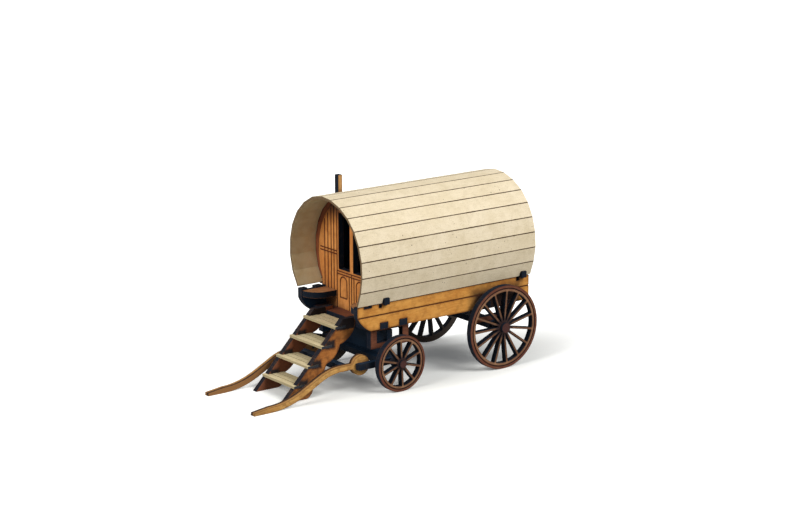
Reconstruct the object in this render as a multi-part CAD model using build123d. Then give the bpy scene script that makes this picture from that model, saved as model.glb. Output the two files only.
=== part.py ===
from build123d import *
import math
import os

# A small bow-top living wagon cut from sheet, in millimetres.
# X runs across the wagon, Y from its shafts to its back, Z up from the ground.
# Stations are lengths behind the front edge of the roof; at() turns one into Y.
# Rises are heights above the bottom edge of the side panels.

# sheets and fits
SHEET = 2.0
ROOF_CARD = 0.8
TREAD_CARD = 0.8
GLUE_GAP = 0.1
RUNNING_GAP = 0.05
PRESSED_GAP = 0.02
LINE_WIDTH = 0.35
LINE_DEPTH = 0.25
CUT_PAST = 1.0

# roof
ROOF_LENGTH = 70.4
CROWN_HALF = 2.5
CROWN_RISE = 40.45
RIGHT_CROWN_LIFT = 0.44
LEFT_PLANK_WIDTH = 5.04
LEFT_PLANK_SLOPES = (19.0, 32.0, 46.5, 61.0, 74.0, 86.5, 100.0, 110.0)
RIGHT_PLANK_WIDTH = 5.38
RIGHT_PLANK_SLOPES = (11.0, 29.0, 43.0, 59.0, 75.0, 88.5, 104.0, 120.0)
SCORE_HALF = 0.12
SCORE_DEPTH = 0.2

# body
PANEL_OUTER = 16.4
PANEL_HEIGHT = 8.25
PANEL_REAR_INSET = 0.5
PANEL_NOSE_RISE = 4.9
PANEL_NOSE_LENGTH = 5.0
PANEL_NOSE_MID = (2.0, 2.2)
PANEL_LINE_RISE = 4.75
EAVE_SLIT_START = 2.4
EAVE_SLIT_LENGTH = 3.2
EAVE_SLIT_DEPTH = 0.8
NOTCH_RELIEF_LENGTH = 1.3
NOTCH_RELIEF_DEPTH = 1.3
FLOOR_FRONT = 4.6
FLOOR_INSET = 0.3

# end walls
FRONT_WALL = 9.6
REAR_WALL_INSET = 2.6
EAR_REACH = 17.8
EAR_BOTTOM_RISE = 8.0
EAR_TOP_RISE = 10.1
DOOR_HALF = 7.9
DOOR_HEAD = 2.75
PANE_INNER = 0.9
PANE_OUTER = 7.0
PANE_BOTTOM_RISE = 14.9
PANE_HEAD = 1.1
RAIL_RISE = 20.6
RAIL_STEP = 1.0
SILL_RISE = 14.2
SILL_STEP = 0.9
BOARD_LINES = (9.6, 11.1, 12.9, 14.7)
BOARD_MARGIN = 1.0
ARCH_CENTRE = 4.4
ARCH_HALF = 2.0
ARCH_BOTTOM_RISE = 5.5
ARCH_SPRING_RISE = 10.8
STILE_LINE = 1.3
REAR_PANE_HALF = 3.6
REAR_PANE_BOTTOM_RISE = 20.6
REAR_PANE_TOP_RISE = 29.6
REAR_FRAME = 1.6
REAR_BOARD_LINES = (2.0, 5.6, 8.4, 11.2, 14.0)

# porch seats
SEAT_TOP_RISE = 7.6
SEAT_INNER = 8.3
SEAT_FRONT = 0.4
SEAT_BEND = 5.6
SEAT_BULGE = (9.9, 2.2)

# chimney
CHIMNEY_X = -10.8
CHIMNEY_STATION = 12.5
CHIMNEY_WIDTH = 1.5
CHIMNEY_TOP_RISE = 44.9
CHIMNEY_BOTTOM_RISE = 34.8

# axles and their carriers
FRONT_AXLE_STATION = 14.1
REAR_AXLE_INSET = 14.5
TAB_PITCH = 7.6
TAB_WIDTH = 3.0
TAB_PROUD = 0.2
BRACKET_OUTER = 14.3
BRACKET_HALF = 7.5
REAR_STAND = 6.4
FRONT_BRACKET_RISE = 4.45
BRACKET_SIDE = 2.4
BRACKET_LOWER_BAR = 1.7
BRACKET_UPPER_BAR = 1.2
BOLSTER_TONGUE_GAP = 0.3
BOSS_GAP = 0.5
REAR_AXLE_BAR_HALF = 2.5
FRONT_AXLE_BACK = 2.9
AXLE_PIN_RADIUS = 1.0
AXLE_PIN_ROOT = 1.0
SHAFT_SIDE_GAP = 0.3
TINE_NOSE = 2.2
PLATE_FRONT = 10.2

# wheels
WHEEL_OUTER = 20.8
REAR_RADIUS = 14.0
FRONT_RADIUS = 9.15
CAP_GAP = 0.15
FRONT_RIM = 1.8
REAR_RIM = 2.0
FRONT_HUB = 1.8
REAR_HUB = 2.2
FRONT_SPOKE_COUNT = 10
REAR_SPOKE_COUNT = 15
FRONT_SPOKE_ANGLE = 2.5
REAR_SPOKE_ANGLE = 6.5
FRONT_CAP = 1.3
REAR_CAP = 1.7
FRONT_CAP_DEPTH = 0.6
REAR_CAP_DEPTH = 1.0
SPOKE_WIDTH = 0.65
BOSS_RADIUS = 1.8

# shafts
SHAFT_X = 13.1
SHAFT_PIVOT = 2.85
SHAFT_REACH = 37.6
EYE_RADIUS = 3.3
SHAFT_WIDTH = 1.75
SHAFT_TIP_WIDTH = 1.0
SHAFT_BEND = 27.0
SHAFT_BEND_RADIUS = 18.0
SHAFT_SWEEP_RADIUS = 28.0
SHAFT_START = 7.2
PIVOT_RADIUS = 0.5
CROSS_BAR_FRONT = -3.2
CROSS_BAR_WIDTH = 2.5
CROSS_BAR_RISE = 0.3

# steps
STRINGER_X = 7.92
STRINGER_HEAD = -0.31
STRINGER_SLOPE = 46.0
STRINGER_FOOT_LENGTH = 8.6
STRINGER_DEPTH = 6.4
STRINGER_SCALLOP = 1.1
STRINGER_BUTT = 1.4
HOOK_DEPTH = 1.0
HOOK_END = 7.0
TREAD_COUNT = 4
FIRST_TREAD_TOP = 4.9
TREAD_RISE = 5.53
TREAD_NOSE = 0.6
TREAD_DEPTH = 6.8
TREAD_NOTCH = 3.6
TREAD_PLANK_LINES = 2

ROOF_FRONT_Y = (SHAFT_REACH - ROOF_LENGTH) / 2
PANEL_BOTTOM = REAR_RADIUS + REAR_STAND
CROWN_Z = PANEL_BOTTOM + CROWN_RISE
PANEL_TOP = PANEL_BOTTOM + PANEL_HEIGHT
PANEL_NOSE_Z = PANEL_BOTTOM + PANEL_NOSE_RISE
PANEL_LINE_Z = PANEL_BOTTOM + PANEL_LINE_RISE
EAR_BOTTOM = PANEL_BOTTOM + EAR_BOTTOM_RISE
EAR_TOP = PANEL_BOTTOM + EAR_TOP_RISE
PANE_BOTTOM = PANEL_BOTTOM + PANE_BOTTOM_RISE
RAIL_Z = PANEL_BOTTOM + RAIL_RISE
SILL_Z = PANEL_BOTTOM + SILL_RISE
ARCH_BOTTOM = PANEL_BOTTOM + ARCH_BOTTOM_RISE
ARCH_SPRING = PANEL_BOTTOM + ARCH_SPRING_RISE
REAR_PANE_BOTTOM = PANEL_BOTTOM + REAR_PANE_BOTTOM_RISE
REAR_PANE_TOP = PANEL_BOTTOM + REAR_PANE_TOP_RISE
SEAT_TOP = PANEL_BOTTOM + SEAT_TOP_RISE
CHIMNEY_TOP = PANEL_BOTTOM + CHIMNEY_TOP_RISE
CHIMNEY_BOTTOM = PANEL_BOTTOM + CHIMNEY_BOTTOM_RISE
PANEL_INNER = PANEL_OUTER - SHEET
FLOOR_TOP = PANEL_BOTTOM + SHEET
INSIDE_HALF = PANEL_INNER - GLUE_GAP
HOOK_BOTTOM = FLOOR_TOP + GLUE_GAP
STRINGER_TOP = HOOK_BOTTOM + HOOK_DEPTH
PANEL_REAR = ROOF_LENGTH - PANEL_REAR_INSET
REAR_WALL = ROOF_LENGTH - REAR_WALL_INSET - SHEET
REAR_AXLE_STATION = ROOF_LENGTH - REAR_AXLE_INSET
AXLE_HALF = WHEEL_OUTER - 2 * SHEET - BOSS_GAP
SHAFT_INNER = SHAFT_X - SHEET / 2
TINE_INNER = SHAFT_X + SHEET / 2 + SHAFT_SIDE_GAP

# columns: end, station, radius, rim width, hub radius, spokes, first spoke, cap radius, cap depth
WHEELS = (
    (
        "front",
        FRONT_AXLE_STATION,
        FRONT_RADIUS,
        FRONT_RIM,
        FRONT_HUB,
        FRONT_SPOKE_COUNT,
        FRONT_SPOKE_ANGLE,
        FRONT_CAP,
        FRONT_CAP_DEPTH,
    ),
    (
        "rear",
        REAR_AXLE_STATION,
        REAR_RADIUS,
        REAR_RIM,
        REAR_HUB,
        REAR_SPOKE_COUNT,
        REAR_SPOKE_ANGLE,
        REAR_CAP,
        REAR_CAP_DEPTH,
    ),
)


def at(station):
    return ROOF_FRONT_Y + station


def sheet_x(face, start, thickness):
    return extrude(Plane.YZ.offset(start) * face, thickness)


def sheet_y(face, start, thickness):
    plane = Plane(origin=(0, start + thickness, 0), x_dir=(1, 0, 0), z_dir=(0, -1, 0))
    return extrude(plane * face, thickness)


def sheet_z(face, start, thickness):
    return extrude(Plane.XY.offset(start) * face, thickness)


def polygon(points):
    return make_face(Polyline(*points, close=True))


def block(x0, x1, y0, y1, z0, z1):
    centre = ((x0 + x1) / 2, (y0 + y1) / 2, (z0 + z1) / 2)
    return Pos(*centre) * Box(abs(x1 - x0), abs(y1 - y0), abs(z1 - z0))


def rod_x(x0, x1, y, z, radius):
    return extrude(Plane.YZ.offset(min(x0, x1)) * Pos(y, z) * Circle(radius), abs(x1 - x0))


def shifted(path, depth):
    """Moves an open path sideways, to its right hand, keeping its corners sharp."""
    sides = []
    for (x0, z0), (x1, z1) in zip(path, path[1:]):
        length = math.hypot(x1 - x0, z1 - z0)
        ux, uz = (x1 - x0) / length, (z1 - z0) / length
        sides.append((x0 + uz * depth, z0 - ux * depth, ux, uz, length))
    moved = [sides[0][:2]]
    for (ax, az, aux, auz, _), (bx, bz, bux, buz, _) in zip(sides, sides[1:]):
        cross = aux * buz - auz * bux
        along = ((bx - ax) * buz - (bz - az) * bux) / cross
        moved.append((ax + aux * along, az + auz * along))
    x, z, ux, uz, length = sides[-1]
    moved.append((x + ux * length, z + uz * length))
    return moved


def roof_side(z, width, slopes):
    """The corners of one side, from the crown's edge down to the eave."""
    x = CROWN_HALF
    corners = [(x, z)]
    for slope in slopes:
        x += width * math.cos(math.radians(slope))
        z -= width * math.sin(math.radians(slope))
        corners.append((x, z))
    return corners


def joined(right, left):
    """One path over the roof, from the right eave to the left."""
    return [(-x, z) for x, z in reversed(right)] + left


def scored(path):
    """Adds a V-shaped score at each inner corner of the roof's outside."""
    points = [path[0]]
    for (ax, az), (bx, bz), (cx, cz) in zip(path, path[1:], path[2:]):
        la, lc = math.hypot(bx - ax, bz - az), math.hypot(cx - bx, cz - bz)
        ux, uz = (bx - ax) / la, (bz - az) / la
        vx, vz = (cx - bx) / lc, (cz - bz) / lc
        nx, nz = uz + vz, -(ux + vx)
        ln = math.hypot(nx, nz)
        points.append((bx - ux * SCORE_HALF, bz - uz * SCORE_HALF))
        points.append((bx + nx / ln * SCORE_DEPTH, bz + nz / ln * SCORE_DEPTH))
        points.append((bx + vx * SCORE_HALF, bz + vz * SCORE_HALF))
    points.append(path[-1])
    return points


# the card fits the end walls on the left and bulges a little clear of them on the right
LEFT_ROOF = roof_side(CROWN_Z, LEFT_PLANK_WIDTH, LEFT_PLANK_SLOPES)
RIGHT_ROOF = roof_side(CROWN_Z + RIGHT_CROWN_LIFT, RIGHT_PLANK_WIDTH, RIGHT_PLANK_SLOPES)
OUTER_ROOF = joined(RIGHT_ROOF, LEFT_ROOF)
INNER_ROOF = shifted(OUTER_ROOF, ROOF_CARD)
WALL_ROOF = shifted(joined(LEFT_ROOF, LEFT_ROOF), ROOF_CARD + GLUE_GAP)


def arch_height(x):
    """How high the end walls reach at a distance from the middle."""
    for (x0, z0), (x1, z1) in zip(WALL_ROOF, WALL_ROOF[1:]):
        if x0 <= x <= x1:
            return z0 + (z1 - z0) * (x - x0) / (x1 - x0)
    return EAR_TOP


def arch_reach(z):
    """How far from the middle the end walls reach at a height."""
    for (x0, z0), (x1, z1) in zip(WALL_ROOF, WALL_ROOF[1:]):
        if z1 <= z <= z0:
            return x0 + (x1 - x0) * (z0 - z) / (z0 - z1)
    return INSIDE_HALF


DOOR_TOP = arch_height(DOOR_HALF) - DOOR_HEAD
PANE_TOP = DOOR_TOP - PANE_HEAD


def roof_cover():
    face = polygon(scored(OUTER_ROOF) + list(reversed(INNER_ROOF)))
    cover = sheet_y(face, at(0), ROOF_LENGTH)
    for wall in (FRONT_WALL, REAR_WALL):
        for side in (-1, 1):
            cover -= block(
                side * PANEL_INNER,
                side * (EAR_REACH + SHEET),
                at(wall - GLUE_GAP),
                at(wall + SHEET + GLUE_GAP),
                EAR_BOTTOM - SHEET,
                EAR_TOP + GLUE_GAP,
            )
    half_x = SHEET / 2 + GLUE_GAP
    half_y = CHIMNEY_WIDTH / 2 + GLUE_GAP
    y = at(CHIMNEY_STATION)
    x0, x1 = CHIMNEY_X - half_x, CHIMNEY_X + half_x
    cover -= block(x0, x1, y - half_y, y + half_y, CHIMNEY_BOTTOM, CHIMNEY_TOP)
    return cover


def wall_face():
    """The walls' outline: between the side panels below, an ear each side, then the arch."""
    arch = [p for p in WALL_ROOF if p[1] > EAR_TOP]
    left = [(arch_reach(EAR_TOP), EAR_TOP), (EAR_REACH, EAR_TOP), (EAR_REACH, EAR_BOTTOM)]
    left += [(INSIDE_HALF, EAR_BOTTOM), (INSIDE_HALF, FLOOR_TOP)]
    return polygon(arch + left + [(-x, z) for x, z in reversed(left)])


def upright_line(x, z0, z1, front):
    half = LINE_WIDTH / 2
    return block(x - half, x + half, front - CUT_PAST, front + LINE_DEPTH, z0, z1)


def level_line(x0, x1, z, front):
    half = LINE_WIDTH / 2
    return block(x0, x1, front - CUT_PAST, front + LINE_DEPTH, z - half, z + half)


def arched_line(x, front):
    outer = polygon_arch(x, ARCH_HALF, 0)
    inner = polygon_arch(x, ARCH_HALF - LINE_WIDTH, LINE_WIDTH)
    return sheet_y(outer - inner, front - CUT_PAST, CUT_PAST + LINE_DEPTH)


def polygon_arch(x, half, lift):
    left, right, low = x - half, x + half, ARCH_BOTTOM + lift
    straight = Polyline((left, ARCH_SPRING), (left, low), (right, low), (right, ARCH_SPRING))
    head = ThreePointArc((right, ARCH_SPRING), (x, ARCH_SPRING + half), (left, ARCH_SPRING))
    return make_face([straight, head])


def front_wall():
    front = at(FRONT_WALL)
    wall = sheet_y(wall_face(), front, SHEET)
    y0, y1 = front - CUT_PAST, front + SHEET + CUT_PAST
    for side in (-1, 1):
        wall -= block(side * PANE_INNER, side * PANE_OUTER, y0, y1, PANE_BOTTOM, PANE_TOP)
    lines = upright_line(0, FLOOR_TOP, SILL_Z, front)
    lines += level_line(-DOOR_HALF, DOOR_HALF, DOOR_TOP, front)
    for z in (SILL_Z, SILL_Z - SILL_STEP):
        lines += level_line(-DOOR_HALF, DOOR_HALF, z, front)
    for side in (-1, 1):
        lines += upright_line(side * DOOR_HALF, FLOOR_TOP, DOOR_TOP, front)
        lines += upright_line(side * STILE_LINE, FLOOR_TOP, SILL_Z - SILL_STEP, front)
        lines += arched_line(side * ARCH_CENTRE, front)
        for x in BOARD_LINES:
            lines += upright_line(side * x, SEAT_TOP, arch_height(x) - BOARD_MARGIN, front)
        for z in (RAIL_Z, RAIL_Z - RAIL_STEP):
            lines += level_line(side * DOOR_HALF, side * (arch_reach(z) - BOARD_MARGIN), z, front)
    return wall - lines


def rear_wall():
    front = at(REAR_WALL)
    back = front + SHEET
    wall = sheet_y(wall_face(), front, SHEET)
    pane = (-REAR_PANE_HALF, REAR_PANE_HALF)
    wall -= block(*pane, front - CUT_PAST, back + CUT_PAST, REAR_PANE_BOTTOM, REAR_PANE_TOP)
    half = LINE_WIDTH / 2
    y0, y1 = back - LINE_DEPTH, back + CUT_PAST
    reach = REAR_PANE_HALF + REAR_FRAME
    low, high = REAR_PANE_BOTTOM - REAR_FRAME, REAR_PANE_TOP + REAR_FRAME
    lines = block(-reach, reach, y0, y1, low - half, low + half)
    lines += block(-reach, reach, y0, y1, high - half, high + half)
    for side in (-1, 1):
        lines += block(side * reach - half, side * reach + half, y0, y1, low, high)
        for x in REAR_BOARD_LINES:
            top = low if x < reach else arch_height(x) - BOARD_MARGIN
            lines += block(side * x - half, side * x + half, y0, y1, FLOOR_TOP, top)
    return wall - lines


def side_panel(side):
    middle = (at(PANEL_NOSE_MID[0]), PANEL_BOTTOM + PANEL_NOSE_MID[1])
    nose = ThreePointArc((at(0), PANEL_NOSE_Z), middle, (at(PANEL_NOSE_LENGTH), PANEL_BOTTOM))
    rest = Polyline(
        (at(PANEL_NOSE_LENGTH), PANEL_BOTTOM),
        (at(PANEL_REAR), PANEL_BOTTOM),
        (at(PANEL_REAR), PANEL_TOP),
        (at(0), PANEL_TOP),
        (at(0), PANEL_NOSE_Z),
    )
    panel = sheet_x(make_face([nose, rest]), PANEL_INNER, SHEET)
    inner, outer, above = PANEL_INNER - CUT_PAST, PANEL_OUTER + CUT_PAST, PANEL_TOP + CUT_PAST
    for axle in (FRONT_AXLE_STATION, REAR_AXLE_STATION):
        for step in (-1, 1):
            y = at(axle + step * TAB_PITCH / 2)
            half = TAB_WIDTH / 2 + GLUE_GAP
            low, high = PANEL_BOTTOM - CUT_PAST, FLOOR_TOP + GLUE_GAP
            panel -= block(inner, outer, y - half, y + half, low, high)
    for wall in (FRONT_WALL, REAR_WALL):
        y0, y1, relief = at(wall - GLUE_GAP), at(wall + SHEET + GLUE_GAP), at(wall - NOTCH_RELIEF_LENGTH)
        panel -= block(inner, outer, y0, y1, EAR_BOTTOM - GLUE_GAP, above)
        panel -= block(inner, outer, relief, y0, PANEL_TOP - NOTCH_RELIEF_DEPTH, above)
    slit = at(EAVE_SLIT_START)
    panel -= block(inner, outer, slit, slit + EAVE_SLIT_LENGTH, PANEL_TOP - EAVE_SLIT_DEPTH, above)
    half = LINE_WIDTH / 2
    y0, y1 = at(-CUT_PAST), at(PANEL_REAR + CUT_PAST)
    panel -= block(PANEL_OUTER - LINE_DEPTH, outer, y0, y1, PANEL_LINE_Z - half, PANEL_LINE_Z + half)
    return panel if side > 0 else mirror(panel, Plane.YZ)


def floor():
    """The floor, with two tabs each side by each axle that show through the side panels."""
    y0, y1 = at(FLOOR_FRONT), at(PANEL_REAR - FLOOR_INSET)
    board = block(-INSIDE_HALF, INSIDE_HALF, y0, y1, PANEL_BOTTOM, FLOOR_TOP)
    reach, half = PANEL_OUTER + TAB_PROUD, TAB_WIDTH / 2
    for axle in (FRONT_AXLE_STATION, REAR_AXLE_STATION):
        for step in (-1, 1):
            y = at(axle + step * TAB_PITCH / 2)
            board += block(-reach, reach, y - half, y + half, PANEL_BOTTOM, FLOOR_TOP)
    return board


def porch_seat(side):
    back = at(FRONT_WALL)
    front = ThreePointArc(
        (INSIDE_HALF, at(SEAT_FRONT)), (SEAT_BULGE[0], at(SEAT_BULGE[1])), (SEAT_INNER, at(SEAT_BEND))
    )
    rest = Polyline(
        (SEAT_INNER, at(SEAT_BEND)), (SEAT_INNER, back), (INSIDE_HALF, back), (INSIDE_HALF, at(SEAT_FRONT))
    )
    seat = sheet_z(make_face([front, rest]), SEAT_TOP - SHEET, SHEET)
    return seat if side > 0 else mirror(seat, Plane.YZ)


def chimney():
    y = at(CHIMNEY_STATION)
    x0, x1 = CHIMNEY_X - SHEET / 2, CHIMNEY_X + SHEET / 2
    half = CHIMNEY_WIDTH / 2
    return block(x0, x1, y - half, y + half, CHIMNEY_BOTTOM, CHIMNEY_TOP)


def bracket_bottom(axle):
    """The back brackets stand on their axle; the front ones end above theirs."""
    return REAR_RADIUS + SHEET / 2 if axle == REAR_AXLE_STATION else FRONT_RADIUS + FRONT_BRACKET_RISE


def bracket(axle, side):
    y = at(axle)
    bottom = bracket_bottom(axle)
    outer, inner = side * BRACKET_OUTER, side * (BRACKET_OUTER - SHEET)
    ring = block(inner, outer, y - BRACKET_HALF, y + BRACKET_HALF, bottom, PANEL_BOTTOM)
    opening = BRACKET_HALF - BRACKET_SIDE
    ring -= block(
        inner - side * CUT_PAST,
        outer + side * CUT_PAST,
        y - opening,
        y + opening,
        bottom + BRACKET_LOWER_BAR,
        PANEL_BOTTOM - BRACKET_UPPER_BAR,
    )
    return ring


def bolster():
    """A crosswise plate on the front axle, with a tongue each side through the bracket's window."""
    half = BRACKET_OUTER - SHEET - GLUE_GAP
    y = at(FRONT_AXLE_STATION)
    plate = block(-half, half, y - SHEET / 2, y + SHEET / 2, FRONT_RADIUS + SHEET / 2, PANEL_BOTTOM)
    low = bracket_bottom(FRONT_AXLE_STATION) + BRACKET_LOWER_BAR + BOLSTER_TONGUE_GAP
    high = PANEL_BOTTOM - BRACKET_UPPER_BAR - BOLSTER_TONGUE_GAP
    plate += block(-BRACKET_OUTER, BRACKET_OUTER, y - SHEET / 2, y + SHEET / 2, low, high)
    return plate


def axle_pins(station, z):
    end = WHEEL_OUTER + CAP_GAP
    pins = rod_x(-end, -AXLE_HALF + AXLE_PIN_ROOT, at(station), z, AXLE_PIN_RADIUS)
    return pins + rod_x(AXLE_HALF - AXLE_PIN_ROOT, end, at(station), z, AXLE_PIN_RADIUS)


def front_axle():
    """A flat plate at the axle's height, with a tine outside each shaft's eye."""
    back = at(FRONT_AXLE_STATION + FRONT_AXLE_BACK)
    right = [
        (TINE_INNER, at(PLATE_FRONT)),
        (TINE_INNER, at(SHAFT_PIVOT - TINE_NOSE)),
        (AXLE_HALF, at(SHAFT_PIVOT - TINE_NOSE)),
        (AXLE_HALF, back),
    ]
    left = [(-x, y) for x, y in reversed(right)]
    z = FRONT_RADIUS
    plate = sheet_z(polygon(right + left), z - SHEET / 2, SHEET)
    plate += axle_pins(FRONT_AXLE_STATION, z)
    reach = AXLE_HALF + CUT_PAST
    return plate - rod_x(-reach, reach, at(SHAFT_PIVOT), z, PIVOT_RADIUS + RUNNING_GAP)


def rear_axle():
    y, z = at(REAR_AXLE_STATION), REAR_RADIUS
    half = REAR_AXLE_BAR_HALF
    bar = block(-AXLE_HALF, AXLE_HALF, y - half, y + half, z - SHEET / 2, z + SHEET / 2)
    return bar + axle_pins(REAR_AXLE_STATION, z)


def wheel(radius, rim, hub, spokes, first, side):
    face = Circle(radius) - Circle(radius - rim)
    face += Circle(hub)
    length = radius - rim / 2 - hub / 2
    for index in range(spokes):
        turn = first - 90 + index * 360 / spokes
        face += Rot(0, 0, turn) * Pos(hub / 2 + length / 2, 0) * Rectangle(length, SPOKE_WIDTH)
    face -= Circle(AXLE_PIN_RADIUS + RUNNING_GAP)
    disc = extrude(face, SHEET)
    middle = radius - rim / 2
    ring = Circle(middle + LINE_WIDTH / 2) - Circle(middle - LINE_WIDTH / 2)
    disc -= extrude(Pos(0, 0, SHEET - LINE_DEPTH) * ring, LINE_DEPTH + CUT_PAST)
    standing = Plane.YZ * disc
    placed = Pos(WHEEL_OUTER - SHEET, 0, 0) * standing
    return placed if side > 0 else mirror(placed, Plane.YZ)


def boss(side):
    ring = Circle(BOSS_RADIUS) - Circle(AXLE_PIN_RADIUS + RUNNING_GAP)
    inner = WHEEL_OUTER - 2 * SHEET
    placed = extrude(Plane.YZ.offset(inner) * ring, SHEET)
    return placed if side > 0 else mirror(placed, Plane.YZ)


def axle_cap(radius, thickness, side):
    start = WHEEL_OUTER + CAP_GAP
    return rod_x(side * start, side * (start + thickness), 0, 0, radius)


def shaft(side):
    """An eye at the back, then a flat bar that bends down, bends level and tapers to its tip."""
    pivot, z = at(SHAFT_PIVOT), FRONT_RADIUS
    bend, radius, sweep = math.radians(SHAFT_BEND), SHAFT_BEND_RADIUS, SHAFT_SWEEP_RADIUS
    half = SHAFT_WIDTH / 2
    slant = (z - half - (radius + sweep) * (1 - math.cos(bend))) / math.sin(bend)
    begin = pivot - SHAFT_START
    mid_a = (begin - radius * math.sin(bend), z - radius * (1 - math.cos(bend)))
    mid_b = (mid_a[0] - slant * math.cos(bend), mid_a[1] - slant * math.sin(bend))
    end = (mid_b[0] - sweep * math.sin(bend), half)
    tip = at(-SHAFT_REACH)

    def edge(offset):
        """One side of the bar, from the eye to where it runs level."""
        lean = (-math.sin(bend) * offset, math.cos(bend) * offset)
        turn = math.sin(bend / 2), math.cos(bend / 2)
        low, high = z - radius, half + sweep
        start = (pivot, z + offset)
        first = (begin, z + offset)
        bow = (begin - (radius + offset) * turn[0], low + (radius + offset) * turn[1])
        join_a = (mid_a[0] + lean[0], mid_a[1] + lean[1])
        join_b = (mid_b[0] + lean[0], mid_b[1] + lean[1])
        sag = (end[0] + (sweep - offset) * turn[0], high - (sweep - offset) * turn[1])
        last = (end[0], half + offset)
        return [
            Line(start, first),
            ThreePointArc(first, bow, join_a),
            Line(join_a, join_b),
            ThreePointArc(join_b, sag, last),
        ]

    nose = Polyline((end[0], 2 * half), (tip, SHAFT_TIP_WIDTH), (tip, 0), (end[0], 0))
    root = Line((pivot, z - half), (pivot, z + half))
    face = make_face(edge(half) + [nose] + edge(-half) + [root])
    face += Pos(pivot, z) * Circle(EYE_RADIUS)
    face -= Pos(pivot, z) * Circle(PIVOT_RADIUS + PRESSED_GAP)
    return sheet_x(face, side * SHAFT_X - SHEET / 2, SHEET)


def shaft_pin(side):
    """A pin through the shaft's eye, which turns in the axle plate's tine."""
    end = AXLE_HALF - GLUE_GAP
    return rod_x(side * SHAFT_INNER, side * end, at(SHAFT_PIVOT), FRONT_RADIUS, PIVOT_RADIUS)


def cross_bar():
    front = at(CROSS_BAR_FRONT)
    top = FRONT_RADIUS + CROSS_BAR_RISE
    return block(-SHAFT_INNER, SHAFT_INNER, front, front + CROSS_BAR_WIDTH, top - SHEET, top)


def step_front(z):
    """Where the stringers' straight front edge is at a height."""
    return at(STRINGER_HEAD) - (STRINGER_TOP - z) / math.tan(math.radians(STRINGER_SLOPE))


def tread_tops():
    return [FIRST_TREAD_TOP + index * TREAD_RISE for index in range(TREAD_COUNT)]


def stringer(side):
    """A leaning plank, notched for the treads, with a scalloped back and a hook over the floor."""
    slope = math.radians(STRINGER_SLOPE)
    marks = [z - TREAD_CARD / 2 for z in tread_tops()[:-1]]
    butt = at(FLOOR_FRONT) - GLUE_GAP
    knots = [(step_front(0) + STRINGER_FOOT_LENGTH, 0.0)]
    knots += [(step_front(z) + STRINGER_DEPTH, z) for z in marks]
    knots.append((butt, FLOOR_TOP - STRINGER_BUTT))
    back = []
    for (y0, z0), (y1, z1) in zip(knots, knots[1:]):
        y, z = (y0 + y1) / 2, (z0 + z1) / 2
        swell = (y + STRINGER_SCALLOP * math.sin(slope), z - STRINGER_SCALLOP * math.cos(slope))
        back.append(ThreePointArc((y0, z0), swell, (y1, z1)))
    rest = Polyline(
        knots[-1],
        (butt, HOOK_BOTTOM),
        (at(HOOK_END), HOOK_BOTTOM),
        (at(HOOK_END), STRINGER_TOP),
        (step_front(STRINGER_TOP), STRINGER_TOP),
        (step_front(0), 0),
        knots[0],
    )
    plank = sheet_x(make_face(back + [rest]), side * STRINGER_X - SHEET / 2, SHEET)
    inner, outer = side * STRINGER_X - SHEET, side * STRINGER_X + SHEET
    for z in tread_tops():
        y = step_front(z - TREAD_CARD / 2)
        low, high = z - TREAD_CARD - GLUE_GAP / 2, z + GLUE_GAP / 2
        plank -= block(inner, outer, y - TREAD_NOTCH, y + TREAD_NOTCH, low, high)
    return plank


def tread(top):
    front = step_front(top - TREAD_CARD / 2) - TREAD_NOSE
    wide, narrow = STRINGER_X + SHEET / 2, STRINGER_X - SHEET / 2 - GLUE_GAP
    shoulder = front + TREAD_NOSE + TREAD_NOTCH - GLUE_GAP
    board = block(-wide, wide, front, shoulder, top - TREAD_CARD, top)
    board += block(-narrow, narrow, shoulder, front + TREAD_DEPTH, top - TREAD_CARD, top)
    for index in range(TREAD_PLANK_LINES):
        y = front + TREAD_DEPTH * (index + 1) / (TREAD_PLANK_LINES + 1)
        half, reach = LINE_WIDTH / 2, wide + CUT_PAST
        board -= block(-reach, reach, y - half, y + half, top - LINE_DEPTH, top + CUT_PAST)
    return board


pieces = {
    "roof_cover": roof_cover(),
    "front_wall": front_wall(),
    "rear_wall": rear_wall(),
    "floor": floor(),
    "chimney": chimney(),
    "front_bolster": bolster(),
    "front_axle": front_axle(),
    "rear_axle": rear_axle(),
    "cross_bar": cross_bar(),
}
for hand, side in (("left", 1), ("right", -1)):
    pieces[hand + "_side_panel"] = side_panel(side)
    pieces[hand + "_porch_seat"] = porch_seat(side)
    pieces[hand + "_stringer"] = stringer(side)
    pieces[hand + "_shaft"] = shaft(side)
    pieces[hand + "_shaft_pin"] = shaft_pin(side)
    for end, axle in (("front", FRONT_AXLE_STATION), ("rear", REAR_AXLE_STATION)):
        pieces[end + "_" + hand + "_bracket"] = bracket(axle, side)
    for end, station, radius, rim, hub, spokes, first, cap, cap_depth in WHEELS:
        name = end + "_" + hand
        place = Pos(0, at(station), radius)
        pieces[name + "_wheel"] = place * wheel(radius, rim, hub, spokes, first, side)
        pieces[name + "_boss"] = place * boss(side)
        pieces[name + "_axle_cap"] = place * axle_cap(cap, cap_depth, side)
for number, top in enumerate(tread_tops(), 1):
    pieces["tread_%d" % number] = tread(top)

os.makedirs("parts", exist_ok=True)
for name, piece in pieces.items():
    export_step(piece, "parts/%s.step" % name)
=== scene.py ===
"""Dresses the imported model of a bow-top living wagon that is cut from board and card.

X runs across the wagon, Y from its shafts to its back, Z up from the ground.
Sizes in the classes are millimetres; Blender works in metres.
"""

import logging
import math
from dataclasses import dataclass, replace
from enum import Enum
from functools import lru_cache
from typing import Union

import bpy
from mathutils import Matrix, Vector


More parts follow.
